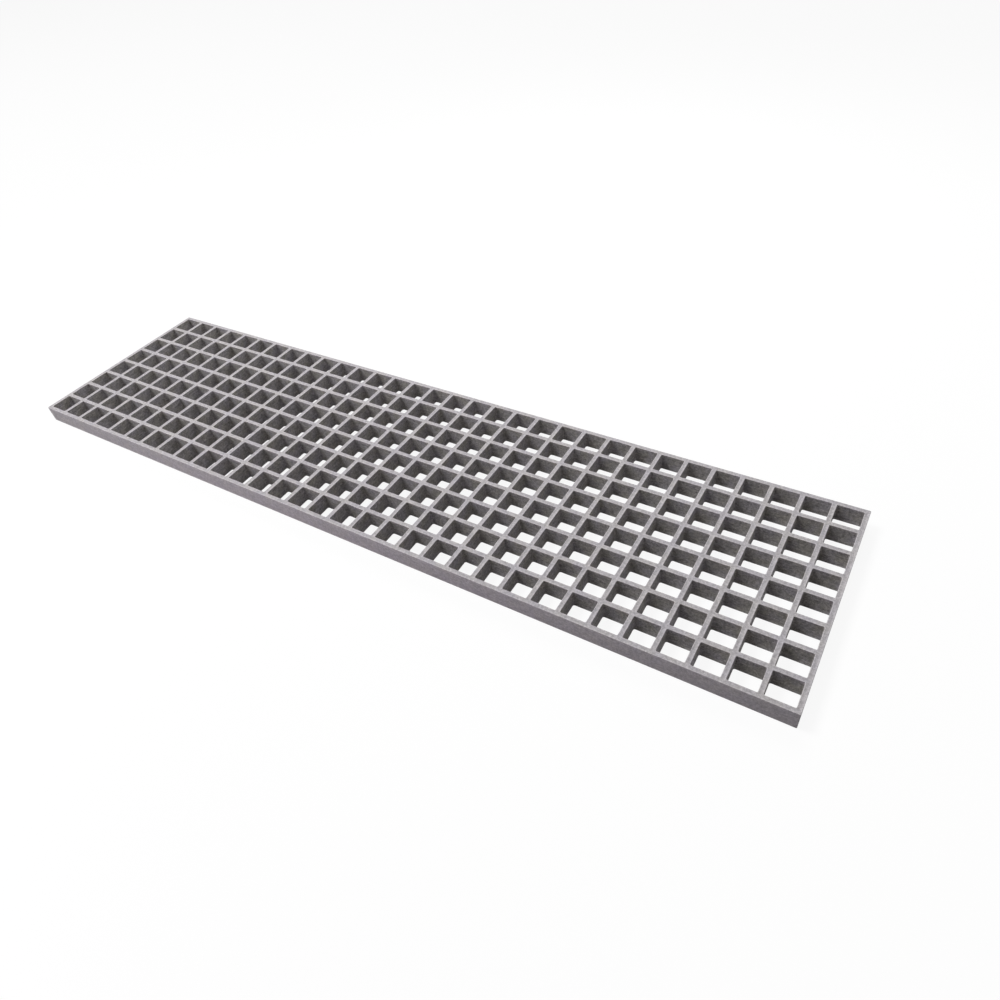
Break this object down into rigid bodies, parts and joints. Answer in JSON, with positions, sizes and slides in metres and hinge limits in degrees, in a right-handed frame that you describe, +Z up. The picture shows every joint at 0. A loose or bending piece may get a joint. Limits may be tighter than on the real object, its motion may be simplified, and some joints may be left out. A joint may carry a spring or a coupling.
{
  "type": "fibreglass grating panel",
  "caption": "Rectangular moulded fibreglass grating panel with a square mesh of tapered bars, open right through.",
  "frame": {"origin": "middle of the underside, on the level that the panel rests on", "axes": "+X along the panel's length, +Y across it towards the back edge, +Z up to the walking surface"},
  "size_m": [1.2192, 0.3048, 0.0254],
  "materials": {
    "fibreglass": "light grey glass-fibre resin, matte and slightly gritty"
  },
  "bodies": {
    "root": {"grating_panel": "fibreglass"}
  },
  "joints": []
}
